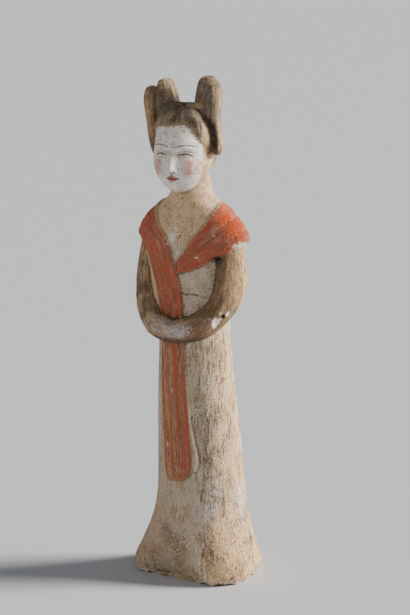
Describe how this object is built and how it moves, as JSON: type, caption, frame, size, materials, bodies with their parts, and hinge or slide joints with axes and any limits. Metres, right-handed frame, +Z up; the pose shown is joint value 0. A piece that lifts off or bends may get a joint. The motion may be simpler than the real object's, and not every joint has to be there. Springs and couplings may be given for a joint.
{
  "type": "standing tomb attendant figure",
  "caption": "Slender standing pottery attendant in a long flared skirt, hands joined inside the sleeves, a long scarf over the shoulders and hair in looped rolls.",
  "frame": {"origin": "on the ground, on the flat underside, under the middle of the skirt", "axes": "+Z up; she faces -Y and her left hand is on the +X side"},
  "size_m": [0.0994, 0.0758, 0.379],
  "materials": {
    "painted_pottery": "matt low-fired earthenware over a cream slip, with worn unfired paint: orange-red scarf, white face, brown hair"
  },
  "bodies": {
    "root": {"attendant_figure": "painted_pottery"}
  },
  "joints": []
}
